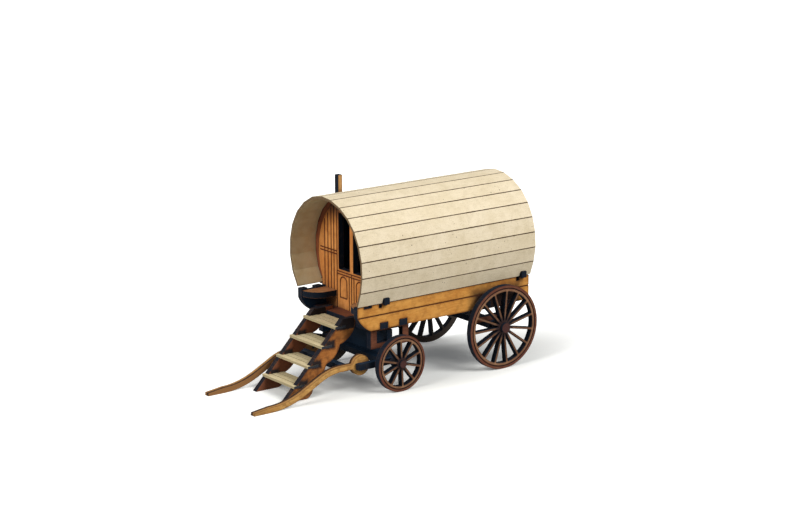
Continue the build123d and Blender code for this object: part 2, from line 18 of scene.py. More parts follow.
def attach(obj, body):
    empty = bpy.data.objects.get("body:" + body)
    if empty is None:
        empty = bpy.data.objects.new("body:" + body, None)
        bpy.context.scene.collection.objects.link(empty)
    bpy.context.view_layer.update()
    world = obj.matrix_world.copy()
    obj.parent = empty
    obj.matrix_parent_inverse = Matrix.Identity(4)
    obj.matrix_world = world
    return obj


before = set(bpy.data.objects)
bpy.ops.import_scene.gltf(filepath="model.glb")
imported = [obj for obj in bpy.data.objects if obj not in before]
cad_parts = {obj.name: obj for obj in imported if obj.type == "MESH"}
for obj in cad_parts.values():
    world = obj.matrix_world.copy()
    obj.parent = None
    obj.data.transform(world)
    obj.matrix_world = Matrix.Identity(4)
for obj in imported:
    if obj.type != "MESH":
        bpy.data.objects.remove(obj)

LOG = logging.getLogger("wagon")
MM = 0.001
HOLLOW_SAMPLES = 8
WHITE = (1.0, 1.0, 1.0, 1.0)
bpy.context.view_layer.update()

Colour = tuple[float, float, float, float]
Path = list[tuple[float, float]]
Feed = Union[bpy.types.NodeSocket, float, tuple]


def shade(red: int, green: int, blue: int) -> Colour:
    """Turns a colour as seen on a screen, 0 to 255, into Blender's linear one.

    Args:
        red: Red, 0 to 255.
        green: Green, 0 to 255.
        blue: Blue, 0 to 255.

    Returns:
        Linear red, green, blue and an alpha of 1.
    """
    def linear(value: int) -> float:
        """One channel of it."""
        part = value / 255
        return part / 12.92 if part <= 0.04045 else ((part + 0.055) / 1.055) ** 2.4

    return linear(red), linear(green), linear(blue), 1.0


class Axis(Enum):
    """One of the wagon's axes."""

    X = 0
    Y = 1
    Z = 2


class Grain(Enum):
    """How far the fibres are drawn out along each axis, as divisors of the place."""

    ALONG = (1.0, 7.0, 1.0)
    UPRIGHT = (1.0, 1.0, 7.0)
    CROSSWISE = (7.0, 1.0, 1.0)
    NONE = (1.0, 1.0, 1.0)


class NodeBench:
    """Adds nodes to one node tree and joins them."""

    def __init__(self, tree: bpy.types.NodeTree) -> None:
        """Keeps the tree."""
        self.tree = tree

    def add(self, kind: str, **settings: object) -> bpy.types.Node:
        """Adds a node.

        Args:
            kind: The node's type name in Blender.
            settings: Properties of the node.

        Returns:
            The new node.
        """
        node = self.tree.nodes.new(kind)
        for name, value in settings.items():
            setattr(node, name, value)
        return node

    def feed(self, socket: bpy.types.NodeSocket, value: Feed) -> None:
        """Joins another node's output to a socket, or sets the socket's own value.

        Args:
            socket: The input.
            value: An output to join, or a plain value.
        """
        if isinstance(value, bpy.types.NodeSocket):
            self.tree.links.new(value, socket)
        else:
            socket.default_value = value

    def math(self, operation: str, first: Feed, second: Feed = 0.0) -> bpy.types.NodeSocket:
        """Adds a sum of one or two values.

        Args:
            operation: Blender's name for it.
            first: The first value.
            second: The second value, if the sum has one.

        Returns:
            The result's socket.
        """
        node = self.add("ShaderNodeMath", operation=operation)
        self.feed(node.inputs[0], first)
        self.feed(node.inputs[1], second)
        return node.outputs[0]

    def weighed(self, first: Feed, weight: float, second: Feed, other_weight: float) -> bpy.types.NodeSocket:
        """Adds up two values by their weights.

        Args:
            first: The first value.
            weight: What it counts.
            second: The second value.
            other_weight: What that one counts.

        Returns:
            The result's socket.
        """
        share = self.math("MULTIPLY", first, weight)
        return self.math("ADD", share, self.math("MULTIPLY", second, other_weight))

    def vector(self, operation: str, first: Feed, second: Feed = (0.0, 0.0, 0.0)) -> bpy.types.NodeSocket:
        """Adds a sum of one or two vectors.

        Args:
            operation: Blender's name for it.
            first: The first vector.
            second: The second vector, if the sum has one.

        Returns:
            The result's socket.
        """
        node = self.add("ShaderNodeVectorMath", operation=operation)
        self.feed(node.inputs[0], first)
        self.feed(node.inputs[1], second)
        return node.outputs["Vector"]

    def split(self, vector: Feed) -> bpy.types.bpy_prop_collection:
        """Gives the sockets of a vector's X, Y and Z."""
        node = self.add("ShaderNodeSeparateXYZ")
        self.feed(node.inputs[0], vector)
        return node.outputs

    def ramp(self, value: Feed, low: float, high: float, top: float = 1.0) -> bpy.types.NodeSocket:
        """Adds a smooth step from 0 to a top value.

        Args:
            value: What is stepped.
            low: Where the step starts.
            high: Where it ends.
            top: The value after it.

        Returns:
            The step's socket.
        """
        node = self.add("ShaderNodeMapRange", interpolation_type="SMOOTHSTEP")
        self.feed(node.inputs["Value"], value)
        node.inputs["From Min"].default_value = low
        node.inputs["From Max"].default_value = high
        node.inputs["To Max"].default_value = top
        return node.outputs["Result"]

    def mix(self, share: Feed, first: Feed, second: Feed, blend: str = "MIX") -> bpy.types.NodeSocket:
        """Adds a mix of two colours.

        Args:
            share: How much of the second.
            first: The first colour.
            second: The second colour.
            blend: Blender's name for the way they mix.

        Returns:
            The mixed colour's socket.
        """
        node = self.add("ShaderNodeMix", data_type="RGBA", blend_type=blend)
        self.feed(node.inputs["Factor"], share)
        self.feed(node.inputs["A"], first)
        self.feed(node.inputs["B"], second)
        return node.outputs["Result"]

    def noise(self, place: Feed, scale: float, detail: float = 2.0) -> bpy.types.NodeSocket:
        """Adds a noise texture.

        Args:
            place: Where on the piece.
            scale: How fine it is.
            detail: How many finer layers it has.

        Returns:
            The noise's socket, mostly 0.3 to 0.7.
        """
        node = self.add("ShaderNodeTexNoise")
        self.feed(node.inputs["Vector"], place)
        node.inputs["Scale"].default_value = scale
        node.inputs["Detail"].default_value = detail
        return node.outputs["Fac"]

    def group(self, tree: bpy.types.NodeTree, **values: Feed) -> bpy.types.Node:
        """Places a node group.

        Args:
            tree: The group.
            values: What its inputs get, by name, with _ for a space.

        Returns:
            The group's node.
        """
        node = self.add("ShaderNodeGroup", node_tree=tree)
        for name, value in values.items():
            self.feed(node.inputs[name.replace("_", " ")], value)
        return node


class GroupBench(NodeBench):
    """A node bench for a shader group with named inputs and outputs."""

    def __init__(self, name: str, inputs: dict[str, str], outputs: dict[str, str]) -> None:
        """Makes the group and its sockets.

        Args:
            name: The group's name.
            inputs: Socket types by input name.
            outputs: Socket types by output name.
        """
        super().__init__(bpy.data.node_groups.new(name, "ShaderNodeTree"))
        for direction, sockets in (("INPUT", inputs), ("OUTPUT", outputs)):
            for socket, kind in sockets.items():
                self.tree.interface.new_socket(socket, in_out=direction, socket_type="NodeSocket" + kind)
        self.given = self.add("NodeGroupInput").outputs
        self.result = self.add("NodeGroupOutput").inputs


@lru_cache(maxsize=None)
def cut_group() -> bpy.types.NodeTree:
    """Finds where a laser went through a sheet or into its face.

    Returns:
        A group that takes the place across the sheet, 0 to 1, its thickness in millimetres and
        how squarely the surface faces along that axis. It gives Edge for cut edges and Line for
        the floors of engraved lines.
    """
    bench = GroupBench(
        "laser cut",
        {"Across": "Float", "Thickness": "Float", "Facing": "Float"},
        {"Edge": "Float", "Line": "Float"},
    )
    other = bench.math("SUBTRACT", 1.0, bench.given["Across"])
    near = bench.math("MINIMUM", bench.given["Across"], other)
    depth = bench.math("MULTIPLY", near, bench.given["Thickness"])
    burnt = bench.ramp(depth, low=0.02, high=0.09)
    square = bench.ramp(bench.math("ABSOLUTE", bench.given["Facing"]), low=0.55, high=0.8)
    away = bench.math("SUBTRACT", 1.0, square)
    bench.feed(bench.result["Edge"], bench.math("MULTIPLY", burnt, away))
    bench.feed(bench.result["Line"], bench.math("MULTIPLY", burnt, square))
    return bench.tree


@lru_cache(maxsize=None)
def scorch_group() -> bpy.types.NodeTree:
    """Finds the strip of a face that lies along a cut, where the heat browned it.

    Returns:
        A group that takes the strip's reach in metres and gives Scorch.
    """
    bench = GroupBench("scorched margin", {"Reach": "Float"}, {"Scorch": "Float"})
    near = bench.add("ShaderNodeAmbientOcclusion", inside=True, only_local=True, samples=HOLLOW_SAMPLES)
    bench.feed(near.inputs["Distance"], bench.given["Reach"])
    closed = bench.math("SUBTRACT", 1.0, near.outputs["AO"])
    bench.feed(bench.result["Scorch"], bench.ramp(closed, low=0.04, high=0.55))
    return bench.tree


@lru_cache(maxsize=None)
def hollow_shade_group() -> bpy.types.NodeTree:
    """Finds hollows and corners between pieces, where shade falls, so that materials can paint that shade
    in.

    Returns:
        A group that takes the reach of a hollow in metres and gives the share of painted shade.
    """
    bench = GroupBench("painted hollow shade", {"Reach": "Float"}, {"Smoke": "Float"})
    open_air = bench.add("ShaderNodeAmbientOcclusion", samples=HOLLOW_SAMPLES)
    bench.feed(open_air.inputs["Distance"], bench.given["Reach"])
    closed = bench.math("SUBTRACT", 1.0, open_air.outputs["AO"])
    bench.feed(bench.result["Smoke"], bench.ramp(closed, low=0.3, high=0.95))
    return bench.tree


@lru_cache(maxsize=None)
def fibre_group() -> bpy.types.NodeTree:
    """Pressed fibres: drawn-out streaks, soft clouding, stains and fine flecks.

    Returns:
        A group that takes the place in millimetres, the fibres' stretch, two tones, a fleck
        colour, how many flecks there are and how strong the stains are. It gives Colour and Height.
    """
    bench = GroupBench(
        "pressed fibres",
        {
            "Place": "Vector",
            "Stretch": "Vector",
            "Tone": "Color",
            "Deep tone": "Color",
            "Fleck": "Color",
            "Flecks": "Float",
            "Stains": "Float",
        },
        {"Colour": "Color", "Height": "Float"},
    )
    place = bench.given["Place"]
    streak = bench.noise(bench.vector("DIVIDE", place, bench.given["Stretch"]), scale=2.6, detail=4.0)
    cloud = bench.noise(place, scale=0.11, detail=3.0)
    deep = bench.ramp(bench.weighed(streak, 0.9, cloud, 1.1), low=0.72, high=1.3)
    tone = bench.mix(deep, bench.given["Tone"], bench.given["Deep tone"])
    blotch = bench.ramp(bench.noise(place, scale=0.42, detail=4.0), low=0.44, high=0.68)
    stained = bench.mix(bench.math("MULTIPLY", blotch, bench.given["Stains"]), tone, bench.given["Fleck"])
    fleck = bench.ramp(bench.noise(place, scale=3.4, detail=1.0), low=0.54, high=0.74)
    spots = bench.math("MULTIPLY", fleck, bench.given["Flecks"])
    bench.feed(bench.result["Colour"], bench.mix(spots, stained, bench.given["Fleck"]))
    bench.feed(bench.result["Height"], bench.weighed(streak, 1.0, spots, -0.4))
    return bench.tree


@lru_cache(maxsize=None)
def char_group() -> bpy.types.NodeTree:
    """A cut edge: charred, with fine stripes down it and soot that is thinner in places.

    Returns:
        A group that takes the place in millimetres, the stripes' stretch, the char's colour and
        the browner colour where it is thin. It gives Colour and Height.
    """
    bench = GroupBench(
        "charred edge",
        {"Place": "Vector", "Stretch": "Vector", "Char": "Color", "Thin": "Color"},
        {"Colour": "Color", "Height": "Float"},
    )
    place = bench.given["Place"]
    stripe = bench.noise(bench.vector("DIVIDE", place, bench.given["Stretch"]), scale=5.0)
    patch = bench.noise(place, scale=0.45, detail=3.0)
    thin = bench.ramp(bench.weighed(stripe, 0.5, patch, 0.7), low=0.58, high=0.86, top=0.75)
    bench.feed(bench.result["Colour"], bench.mix(thin, bench.given["Char"], bench.given["Thin"]))
    bench.feed(bench.result["Height"], stripe)
    return bench.tree


@dataclass(frozen=True)
class Box:
    """A box in the wagon's millimetres, with the width of its soft border."""

    middle: tuple[float, float, float]
    half: tuple[float, float, float]
    fade: float


class Surface:
    """A material with its shader, the places on the piece, and a bench to build on."""

    def __init__(self, name: str) -> None:
        """Makes the material.

        Args:
            name: The material's name.
        """
        self.material = bpy.data.materials.new(name)
        self.material.use_nodes = True
        self.bench = NodeBench(self.material.node_tree)
        self.shader = self.material.node_tree.nodes["Principled BSDF"]
        self.spots = self.bench.add("ShaderNodeTexCoord").outputs
        self.place = self.bench.vector("MULTIPLY", self.spots["Object"], (1 / MM, 1 / MM, 1 / MM))
        self.along = self.bench.split(self.place)

    def part(self, source: str, axis: Axis) -> bpy.types.NodeSocket:
        """Gives one axis of a coordinate output.

        Args:
            source: The coordinate's name, such as Generated or Normal.
            axis: Which axis of it.

        Returns:
            That value's socket.
        """
        return self.bench.split(self.spots[source])[axis.value]

    def outward(self, across: Axis, middle: float) -> bpy.types.NodeSocket:
        """Tells how far the surface faces away from a middle plane.

        Args:
            across: The axis square to the plane.
            middle: The plane's place on it, in millimetres.

        Returns:
            A value above 0 where it faces away and below 0 where it faces the plane.
        """
        away = self.bench.math("SUBTRACT", self.along[across.value], middle)
        return self.bench.math("MULTIPLY", away, self.part("Normal", across))

    def within(self, box: Box) -> bpy.types.NodeSocket:
        """Marks the part of the surface that lies in a box, with an uneven soft border.

        Args:
            box: The box.

        Returns:
            1 in the box, falling to 0 around it.
        """
        bench = self.bench
        mirrored = bench.vector("ABSOLUTE", bench.vector("SUBTRACT", self.place, box.middle))
        beyond = bench.split(bench.vector("SUBTRACT", mirrored, box.half))
        widest = bench.math("MAXIMUM", bench.math("MAXIMUM", beyond[0], beyond[1]), beyond[2])
        uneven = bench.math("SUBTRACT", bench.noise(self.place, scale=0.9, detail=1.0), 0.5)
        border = bench.ramp(bench.math("ADD", widest, uneven), low=0.0, high=box.fade)
        return bench.math("SUBTRACT", 1.0, border)

    def finish(
        self, colour: Feed, rough: Feed, gloss: float, height: Feed, relief: float
    ) -> bpy.types.Material:
        """Joins the finished maps to the shader.

        Args:
            colour: The base colour.
            rough: The roughness.
            gloss: How strongly it mirrors; 0.5 is a plain varnish.
            height: The relief's height, 0 to 1.
            relief: The relief's depth in millimetres.

        Returns:
            The material.
        """
        bump = self.bench.add("ShaderNodeBump")
        bump.inputs["Distance"].default_value = relief * MM
        self.bench.feed(bump.inputs["Height"], height)
        self.bench.feed(self.shader.inputs["Normal"], bump.outputs["Normal"])
        self.bench.feed(self.shader.inputs["Base Color"], colour)
        self.bench.feed(self.shader.inputs["Roughness"], rough)
        self.shader.inputs["Specular IOR Level"].default_value = gloss
        return self.material


@dataclass(frozen=True)
class Board:
    """Pressed board cut and engraved by a laser."""

    name: str
    tone: Colour
    deep_tone: Colour
    fleck: Colour
    line: Colour
    char: Colour = shade(19, 27, 38)
    thin_char: Colour = shade(54, 48, 48)
    scorch: float = 0.55
    reach: float = 0.5
    # Painted shade: how strongly hollows and corners between pieces darken, and how far in millimetres they
    # reach.
    smoke: float = 0.75
    hollow_shade_reach: float = 6.0
    flecks: float = 0.3
    stains: float = 0.3
    rough: float = 0.6
    edge_rough: float = 0.2
    gloss: float = 0.08
    relief: float = 0.03
    face_relief: float = 0.5
    stripe_length: float = 30.0

    def stain(self, surface: Surface, across: Axis, colour: Feed) -> Feed:
        """Adds what only some boards carry on their faces; plain board carries nothing.

        Args:
            surface: The surface under work.
            across: The axis through the sheet.
            colour: The faces' colour so far.

        Returns:
            The colour with the stains.
        """
        return colour

    def burnt(self, surface: Surface, across: Axis, face: Feed, char: Feed) -> Feed:
        """Gives a cut edge's colour; plain board is charred right across.

        Args:
            surface: The surface under work.
            across: The axis through the sheet.
            face: The faces' colour.
            char: The char's colour.

        Returns:
            The edge's colour.
        """
        return char

    def material(self, across: Axis, grain: Grain, thickness: float) -> bpy.types.Material:
        """Builds this board's material for sheets that lie one way.

        Args:
            across: The axis through the sheet.
            grain: How its fibres run.
            thickness: The sheet's thickness in millimetres.

        Returns:
            The material.
        """
        surface = Surface(f"{self.name}_{across.name.lower()}")
        bench = surface.bench
        cut = bench.group(
            cut_group(),
            Across=surface.part("Generated", across),
            Thickness=thickness,
            Facing=surface.part("Normal", across),
        )
        fibres = bench.group(
            fibre_group(),
            Place=surface.place,
            Stretch=grain.value,
            Tone=self.tone,
            Deep_tone=self.deep_tone,
            Fleck=self.fleck,
            Flecks=self.flecks,
            Stains=self.stains,
        )
        stripes = [1.0, 1.0, 1.0]
        stripes[across.value] = self.stripe_length
        edge = bench.group(
            char_group(), Place=surface.place, Stretch=tuple(stripes), Char=self.char, Thin=self.thin_char
        )
        margin = bench.group(scorch_group(), Reach=self.reach * MM)
        browned = bench.math("MULTIPLY", margin.outputs["Scorch"], self.scorch)
        colour = bench.mix(browned, fibres.outputs["Colour"], self.line)
        # Painted shade in hollows and corners between pieces, darkened towards the char's colour.
        hollow = bench.group(hollow_shade_group(), Reach=self.hollow_shade_reach * MM)
        colour = bench.mix(bench.math("MULTIPLY", hollow.outputs["Smoke"], self.smoke), colour, self.char)
        colour = self.stain(surface, across, colour)
        colour = bench.mix(cut.outputs["Line"], colour, self.line)
        burnt = self.burnt(surface, across, colour, edge.outputs["Colour"])
        colour = bench.mix(cut.outputs["Edge"], colour, burnt)
        face = bench.math("MULTIPLY", fibres.outputs["Height"], self.face_relief)
        stripe = bench.math("MULTIPLY", edge.outputs["Height"], cut.outputs["Edge"])
        height = bench.math("ADD", face, stripe)
        rough = bench.math("ADD", bench.math("MULTIPLY", cut.outputs["Edge"], self.edge_rough), self.rough)
        return surface.finish(colour, rough, self.gloss, height, self.relief)


@dataclass(frozen=True)
class ShadePaintedBoard(Board):
    """Board with painted shade: its side that faces the wagon's middle is dark, and dark patches lie in some
    places.
    """

    # Painted shade: the dark colour of the faces that turn towards the wagon's middle.
    back: Colour = shade(32, 54, 76)
    middle: float = 0.0
    # Dark patches in boxes: painted shadows and shade, and darker marks around the treads' ends.
    dark_patches: tuple[Box, ...] = ()
    patch_tone: Colour = shade(22, 28, 38)

    def stain(self, surface: Surface, across: Axis, colour: Feed) -> Feed:
        """Adds the painted shade on the back and the dark patches.

        Args:
            surface: The surface under work.
            across: The axis through the sheet.
            colour: The faces' colour so far.

        Returns:
            The colour with the stains.
        """
        bench = surface.bench
        # Painted shade on the faces that turn towards the wagon's middle.
        front = bench.ramp(surface.outward(across, self.middle), low=-0.5, high=0.5)
        colour = bench.mix(front, self.back, colour)
        for box in self.dark_patches:
            colour = bench.mix(surface.within(box), colour, self.patch_tone)
        return colour


@dataclass(frozen=True)
class ShaftBoard(ShadePaintedBoard):
    """Board of a shaft, whose cut edges keep the face's colour near the outside face and turn to char
    further in.
    """

    outside: float = 14.1
    char_start: float = 0.5
    char_full: float = 1.4

    def burnt(self, surface: Surface, across: Axis, face: Feed, char: Feed) -> Feed:
        """Lets the char grow from the outside in.

        Args:
            surface: The surface under work.
            across: The axis through the sheet.
            face: The faces' colour.
            char: The char's colour.

        Returns:
            The edge's colour.
        """
        bench = surface.bench
        depth = bench.math("SUBTRACT", self.outside, bench.math("ABSOLUTE", surface.along[across.value]))
        return bench.mix(bench.ramp(depth, self.char_start, self.char_full), face, char)


@dataclass(frozen=True)
class WheelBoard(ShadePaintedBoard):
    """Board of a wheel: its rim is burnt redder than its spokes and its hub is dark."""

    rim: Colour = shade(94, 50, 38)
    hub: Colour = shade(50, 35, 33)
    rim_start: float = 0.86
    rim_full: float = 0.96
    rim_share: float = 0.8
    rim_patches: float = 0.9
    hub_end: float = 0.2
    hub_clear: float = 0.32

    def stain(self, surface: Surface, across: Axis, colour: Feed) -> Feed:
        """Adds the rim's and the hub's tone by the distance from the wheel's middle.

        Args:
            surface: The surface under work.
            across: The axis through the sheet.
            colour: The faces' colour so far.

        Returns:
            The colour with the stains.
        """
        bench = surface.bench
        squares: Feed = 0.0
        for axis in Axis:
            if axis is not across:
                off = bench.math("SUBTRACT", surface.part("Generated", axis), 0.5)
                squares = bench.math("ADD", squares, bench.math("POWER", bench.math("ABSOLUTE", off), 2.0))
        reach = bench.math("MULTIPLY", bench.math("SQRT", squares), 2.0)
        uneven = bench.math("SUBTRACT", bench.noise(surface.place, scale=0.5, detail=3.0), 0.5)
        rim = bench.ramp(reach, self.rim_start, self.rim_full, self.rim_share)
        burnt = bench.math("ADD", rim, bench.math("MULTIPLY", uneven, self.rim_patches))
        burnt = bench.math("MINIMUM", bench.math("MAXIMUM", burnt, 0.0), 1.0)
        colour = bench.mix(burnt, colour, self.rim)
        colour = bench.mix(bench.ramp(reach, self.hub_end, self.hub_clear), self.hub, colour)
        return super().stain(surface, across, colour)


@dataclass(frozen=True)
class Card:
    """Thick card, pale on its faces and browned where the laser went."""

    name: str
    tone: Colour
    deep_tone: Colour
    fleck: Colour
    line: Colour
    edge: Colour
    back: Colour
    # Dark colour of the faces at the card's ends across the wagon; on the roof, the painted shade inside the
    # closed cabin.
    dark_ends_and_cabin_shade: Colour = shade(38, 40, 46)
    flecks: float = 0.5
    specks: float = 0.7
    stains: float = 0.2
    # Painted shade: how strongly the hollows darken, how far they reach, and how soft the closed cabin's
    # border is.
    smoke: float = 0.65
    hollow_shade_reach: float = 8.0
    cabin_shade_border: float = 1.0
    wander: float = 0.25
    burnt_share: float = 0.66
    clear_share: float = 0.8
    far_off: float = 100.0
    rough: float = 0.75
    gloss: float = 0.3
    relief: float = 0.02

    def fibres(self, surface: Surface, grain: Grain) -> bpy.types.Node:
        """Places the card's fibres on a surface.

        Args:
            surface: The surface.
            grain: How its fibres run.

        Returns:
            The fibres' group node.
        """
        return surface.bench.group(
            fibre_group(),
            Place=surface.place,
            Stretch=grain.value,
            Tone=self.tone,
            Deep_tone=self.deep_tone,
            Fleck=self.fleck,
            Flecks=self.flecks,
            Stains=self.stains,
        )

    def with_hollow_shade(self, surface: Surface, colour: Feed) -> bpy.types.NodeSocket:
        """Paints shade into a colour in the hollows.

        Args:
            surface: The surface under work.
            colour: Its colour so far.

        Returns:
            The colour with the painted shade.
        """
        hollow = surface.bench.group(hollow_shade_group(), Reach=self.hollow_shade_reach * MM)
        share = surface.bench.math("MULTIPLY", hollow.outputs["Smoke"], self.smoke)
        return surface.bench.mix(share, colour, self.line)

    def sheet(self, across: Axis, grain: Grain, thickness: float) -> bpy.types.Material:
        """Builds the material of flat pieces of this card.

        Args:
            across: The axis through the card.
            grain: How its fibres run.
            thickness: The card's thickness in millimetres.

        Returns:
            The material.
        """
        surface = Surface(f"{self.name}_{across.name.lower()}")
        bench = surface.bench
        cut = bench.group(
            cut_group(),
            Across=surface.part("Generated", across),
            Thickness=thickness,
            Facing=surface.part("Normal", across),
        )
        fibres = self.fibres(surface, grain)
        colour = bench.mix(cut.outputs["Line"], fibres.outputs["Colour"], self.line)
        colour = bench.mix(cut.outputs["Edge"], colour, self.edge)
        colour = self.with_hollow_shade(surface, colour)
        end = bench.ramp(bench.math("ABSOLUTE", surface.part("Normal", Axis.X)), low=0.7, high=0.9)
        colour = bench.mix(end, colour, self.dark_ends_and_cabin_shade)
        return surface.finish(colour, self.rough, self.gloss, fibres.outputs["Height"], self.relief)

    def scored(
        self, scores: Path, width: float, axis: float, cabin: tuple[float, float]
    ) -> bpy.types.Material:
        """Builds the material of the folded roof, with its scored lines burnt dark.

        Args:
            scores: Each line's place across the wagon and height, in millimetres.
            width: A line's width in millimetres.
            axis: The height of the bow's middle, which its inside faces.
            cabin: Where the closed cabin starts and ends; inside it the roof's inner face is painted dark
                navy shade.

        Returns:
            The material.
        """
        surface = Surface(self.name + "_scored")
        bench = surface.bench
        fibres = self.fibres(surface, Grain.ALONG)
        across, up = surface.along[Axis.X.value], surface.along[Axis.Z.value]
        nearest: Feed = self.far_off
        for line_across, line_up in scores:
            off_x = bench.math("SUBTRACT", across, line_across)
            off_z = bench.math("SUBTRACT", up, line_up)
            square = bench.math("ADD", bench.math("POWER", off_x, 2.0), bench.math("POWER", off_z, 2.0))
            nearest = bench.math("MINIMUM", nearest, bench.math("SQRT", square))
        spread = bench.weighed(nearest, 1.0, bench.noise(surface.place, scale=0.12), width * self.wander)
        clear = bench.ramp(spread, low=width * self.burnt_share, high=width * self.clear_share)
        burnt = bench.math("SUBTRACT", 1.0, clear)
        facing = bench.math("ADD", surface.outward(Axis.X, 0.0), surface.outward(Axis.Z, axis))
        outside = bench.ramp(facing, low=-1.0, high=1.0)
        end = bench.ramp(bench.math("ABSOLUTE", surface.part("Normal", Axis.Y)), low=0.6, high=0.9)
        clouds = bench.noise(surface.place, scale=0.35, detail=3.0)
        behind = bench.mix(clouds, self.back, fibres.outputs["Colour"], "MULTIPLY")
        # Painted shade: inside the closed cabin the roof's inner face turns dark navy; in the open porch it
        # takes the painted hollow shade.
        start, stop = cabin
        started = bench.ramp(surface.along[Axis.Y.value], low=start, high=start + self.cabin_shade_border)
        ended = bench.ramp(surface.along[Axis.Y.value], low=stop - self.cabin_shade_border, high=stop)
        closed = bench.math("SUBTRACT", started, ended)
        behind = bench.mix(closed, self.with_hollow_shade(surface, behind), self.dark_ends_and_cabin_shade)
        speck = bench.noise(surface.place, scale=1.5, detail=0.0)
        specks = bench.ramp(speck, low=0.81, high=0.88, top=self.specks)
        colour = bench.mix(specks, fibres.outputs["Colour"], self.line)
        colour = bench.mix(burnt, colour, self.line)
        colour = bench.mix(outside, behind, colour)
        colour = bench.mix(end, colour, self.edge)
        return surface.finish(colour, self.rough, self.gloss, fibres.outputs["Height"], self.relief)


# Painted shade on the walls' ears where they come through the roof.
EAR_SHADE = tuple(
    Box(middle=(across, 0.0, 29.4), half=(1.4, 90.0, 1.2), fade=0.3) for across in (17.9, -17.9)
)
# Painted shadow of the roof across the top of the front wall, under the porch.
PORCH_ROOF_SHADOW = Box(middle=(0.0, -6.8, 66.0), half=(40.0, 4.0, 7.6), fade=10.0)
# Painted shadow of the rear wheels on the side panels just ahead of them.
WHEEL_SHADOW = Box(middle=(0.0, 39.5, 16.0), half=(40.0, 7.0, 8.0), fade=6.0)

WALL_BOARD = ShadePaintedBoard(
    "wall_board",
    tone=shade(226, 153, 84),
    deep_tone=shade(198, 125, 63),
    fleck=shade(150, 86, 44),
    line=shade(100, 46, 24),
    # Painted shade: the walls' faces towards the cabin's middle are dark, and their hollows darken strongly.
    middle=30.0,
    smoke=0.95,
    hollow_shade_reach=7.0,
    dark_patches=EAR_SHADE + (PORCH_ROOF_SHADOW,),
)
SEAT_BOARD = Board(
    "seat_board",
    tone=shade(190, 140, 96),
    deep_tone=shade(158, 108, 70),
    fleck=shade(120, 78, 52),
    line=shade(80, 50, 36),
)
CHIMNEY_BOARD = Board(
    "chimney_board",
    tone=shade(204, 156, 98),
    deep_tone=shade(170, 124, 74),
    fleck=shade(134, 86, 48),
    line=shade(96, 58, 32),
    stains=0.6,
)
PANEL_BOARD = ShadePaintedBoard(
    "panel_board",
    tone=shade(220, 158, 79),
    deep_tone=shade(198, 132, 60),
    fleck=shade(148, 92, 42),
    line=shade(104, 58, 26),
    scorch=0.75,
    reach=0.9,
    smoke=0.5,
    stains=0.4,
    # Painted shadow of the rear wheels, in a dark brown.
    dark_patches=(WHEEL_SHADOW,),
    patch_tone=shade(44, 30, 26),
)
WHEEL_BOARD = WheelBoard(
    "wheel_board",
    tone=shade(168, 130, 98),
    deep_tone=shade(140, 100, 72),
    fleck=shade(98, 58, 40),
    line=shade(48, 25, 20),
    scorch=0.85,
    reach=0.6,
    smoke=0.4,
    # Painted shade on the wheels' inner faces.
    back=shade(66, 58, 52),
)
SHAFT_BOARD = ShaftBoard(
    "shaft_board",
    tone=shade(214, 166, 97),
    deep_tone=shade(184, 134, 73),
    fleck=shade(132, 90, 48),
    line=shade(92, 56, 32),
    char=shade(54, 37, 30),
    thin_char=shade(92, 64, 44),
    scorch=0.7,
    stains=0.6,
    # Painted shade on the shafts' inner faces.
    back=shade(146, 104, 64),
)
STEP_BOARD = ShadePaintedBoard(
    "step_board",
    tone=shade(186, 120, 62),
    deep_tone=shade(152, 92, 44),
    fleck=shade(104, 66, 38),
    line=shade(80, 44, 26),
    char=shade(30, 30, 36),
    thin_char=shade(84, 63, 48),
    scorch=0.75,
    reach=0.8,
    stains=0.75,
    # Painted shade on the stringers' inner faces.
    back=shade(128, 78, 54),
    patch_tone=shade(40, 33, 33),
)
# Painted shade: darker than the walls' board, for the shade where the walls meet the roof's side.
LINING_BOARD = Board(
    "lining_board",
    tone=shade(160, 94, 60),
    deep_tone=shade(128, 72, 48),
    fleck=shade(98, 56, 40),
    line=shade(72, 40, 30),
)
# Takes the default painted shade on the floor's underside and the brackets' inner faces.
FRAME_BOARD = ShadePaintedBoard(
    "frame_board",
    tone=shade(124, 76, 54),
    deep_tone=shade(94, 56, 42),
    fleck=shade(70, 42, 33),
    line=shade(46, 28, 24),
)
# Painted shade: a navy-black board for the axles, bolster, cross bar and shaft pins, standing for the deep
# shade under the floor.
DARK_BOARD = Board(
    "dark_board",
    tone=shade(30, 47, 65),
    deep_tone=shade(24, 38, 54),
    fleck=shade(18, 30, 45),
    line=shade(15, 24, 36),
)
HUB_BOARD = Board(
    "hub_board",
    tone=shade(78, 47, 43),
    deep_tone=shade(61, 41, 38),
    fleck=shade(44, 30, 30),
    line=shade(34, 25, 25),
)
ROOF_CARD = Card(
    "roof_card",
    tone=shade(232, 216, 186),
    deep_tone=shade(222, 205, 172),
    fleck=shade(186, 168, 132),
    line=shade(66, 42, 14),
    edge=shade(112, 90, 62),
    back=shade(229, 218, 182),
    # Painted shade: the dark navy of the roof's inside in the closed cabin.
    dark_ends_and_cabin_shade=shade(24, 60, 92),
)
TREAD_CARD = Card(
    "tread_card",
    tone=shade(220, 204, 164),
    deep_tone=shade(202, 184, 142),
    fleck=shade(160, 144, 104),
    line=shade(112, 96, 66),
    edge=shade(176, 160, 122),
    back=shade(202, 184, 142),
)


def dress(names: list[str], material: bpy.types.Material) -> None:
    """Gives solids a material and reports each.

    Args:
        names: The solids' node names.
        material: What they get.
    """
    for name in names:
        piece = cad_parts[name]
        if not piece.material_slots:
            piece.data.materials.append(material)
        for slot in piece.material_slots:
            slot.material = material
        LOG.info("dressed %s with %s", name, material.name)


def both(stem: str) -> list[str]:
    """Names the left and right pieces of a pair."""
    return ["left_" + stem, "right_" + stem]


def corners(stem: str) -> list[str]:
    """Names the four pieces at the wheels."""
    return [f"{end}_{hand}_{stem}" for end in ("front", "rear") for hand in ("left", "right")]


